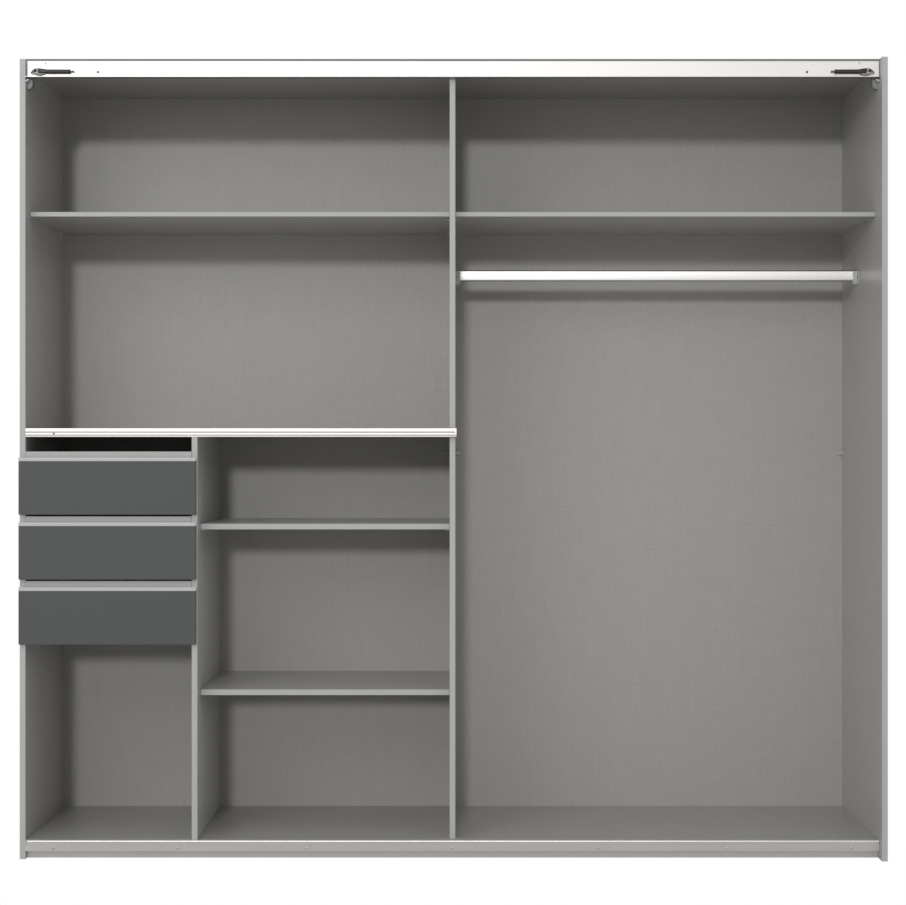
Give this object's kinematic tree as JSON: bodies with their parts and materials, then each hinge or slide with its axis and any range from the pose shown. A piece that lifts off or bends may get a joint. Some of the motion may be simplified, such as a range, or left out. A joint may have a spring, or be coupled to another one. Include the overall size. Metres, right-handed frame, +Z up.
{
  "type": "sliding door wardrobe",
  "caption": "Wide wardrobe carcass for two sliding doors, open at the front, with shelves, drawers, a clothes rail, door rails and soft-close dampers.",
  "frame": {"origin": "on the floor, under the middle of the wardrobe's box", "axes": "+Z up, the open front faces -Y, +X to the right as seen from the front"},
  "size_m": [2.25, 0.593, 2.08],
  "materials": {
    "linen_board": "woven linen decor on board, matt",
    "back_board": "woven linen decor on thin fibreboard, matt",
    "plain_board": "plain warm grey foil, matt",
    "light_board": "plain light grey foil, matt",
    "graphite_board": "graphite foil, silk matt",
    "drawer_box": "light grey foil with a fine linen pattern",
    "drawer_bottom": "light grey lacquered fibreboard",
    "aluminium_profile": "natural anodised, brushed along its length",
    "bright_tube": "bright anodised oval tube",
    "grip_edge": "light grey satin profile",
    "light_plastic": "moulded light grey plastic",
    "dark_plastic": "black moulded plastic",
    "damper_plastic": "moulded grey plastic",
    "lever_plastic": "moulded grey plastic",
    "fitting_steel": "zinc plated",
    "runner_steel": "galvanised sheet steel"
  },
  "bodies": {
    "carcass": {"back_panel_clips": "light_plastic", "back_panel_joiner": "light_plastic", "back_panel_left": "back_board", "back_panel_right": "back_board", "bay_shelf_lower": "linen_board", "bay_shelf_upper": "linen_board", "bottom_front_batten": "plain_board", "bottom_guide_rail": "aluminium_profile", "cabinet_runners": "runner_steel", "cam_connectors": "fitting_steel", "centre_partition": "linen_board", "clothes_rail": "bright_tube", "corner_brackets": "light_plastic", "damper_cylinder_left": "dark_plastic", "damper_cylinder_right": "dark_plastic", "damper_head_left": "damper_plastic", "damper_head_right": "damper_plastic", "damper_pins": "fitting_steel", "drawer_partition": "linen_board", "floor_panel": "linen_board", "middle_shelf": "linen_board", "middle_shelf_profile": "aluminium_profile", "plinth_front": "plain_board", "plinth_rear": "plain_board", "plinth_supports": "plain_board", "rail_sockets": "light_plastic", "screws": "fitting_steel", "shelf_pins": "light_plastic", "side_panel_left": "linen_board", "side_panel_right": "linen_board", "top_door_rail": "aluminium_profile", "top_front_batten": "plain_board", "top_panel": "linen_board", "upper_shelf_left": "linen_board", "upper_shelf_right": "linen_board"},
    "drawer_upper": {"drawer_upper_box_back": "drawer_box", "drawer_upper_box_bottom": "drawer_bottom", "drawer_upper_box_front": "light_board", "drawer_upper_box_sides": "drawer_box", "drawer_upper_front": "graphite_board", "drawer_upper_grip": "grip_edge", "drawer_upper_runners": "runner_steel"},
    "drawer_middle": {"drawer_middle_box_back": "drawer_box", "drawer_middle_box_bottom": "drawer_bottom", "drawer_middle_box_front": "light_board", "drawer_middle_box_sides": "drawer_box", "drawer_middle_front": "graphite_board", "drawer_middle_grip": "grip_edge", "drawer_middle_runners": "runner_steel"},
    "drawer_lower": {"drawer_lower_box_back": "drawer_box", "drawer_lower_box_bottom": "drawer_bottom", "drawer_lower_box_front": "light_board", "drawer_lower_box_sides": "drawer_box", "drawer_lower_front": "graphite_board", "drawer_lower_grip": "grip_edge", "drawer_lower_runners": "runner_steel"},
    "damper_rod_left": {"damper_rod_left": "fitting_steel"},
    "catch_lever_left": {"catch_lever_left": "lever_plastic"},
    "damper_rod_right": {"damper_rod_right": "fitting_steel"},
    "catch_lever_right": {"catch_lever_right": "lever_plastic"}
  },
  "joints": [
    {"name": "drawer_upper_slide", "type": "slide", "parent": "carcass", "child": "drawer_upper", "axis": [0, -1, 0], "range_m": [0, 0.36]},
    {"name": "drawer_middle_slide", "type": "slide", "parent": "carcass", "child": "drawer_middle", "axis": [0, -1, 0], "range_m": [0, 0.36]},
    {"name": "drawer_lower_slide", "type": "slide", "parent": "carcass", "child": "drawer_lower", "axis": [0, -1, 0], "range_m": [0, 0.36]},
    {"name": "damper_rod_left_slide", "type": "slide", "parent": "carcass", "child": "damper_rod_left", "axis": [1, 0, 0], "range_m": [0, 0.04]},
    {"name": "catch_lever_left_swing", "type": "hinge", "parent": "carcass", "child": "catch_lever_left", "pos_m": [-1.083, -0.2729, 2.048], "axis": [0, 1, 0], "range_deg": [0, 22], "stiffness_Nm_per_rad": 0.02},
    {"name": "damper_rod_right_slide", "type": "slide", "parent": "carcass", "child": "damper_rod_right", "axis": [-1, 0, 0], "range_m": [0, 0.04]},
    {"name": "catch_lever_right_swing", "type": "hinge", "parent": "carcass", "child": "catch_lever_right", "pos_m": [1.083, -0.2729, 2.048], "axis": [0, -1, 0], "range_deg": [0, 22], "stiffness_Nm_per_rad": 0.02}
  ]
}
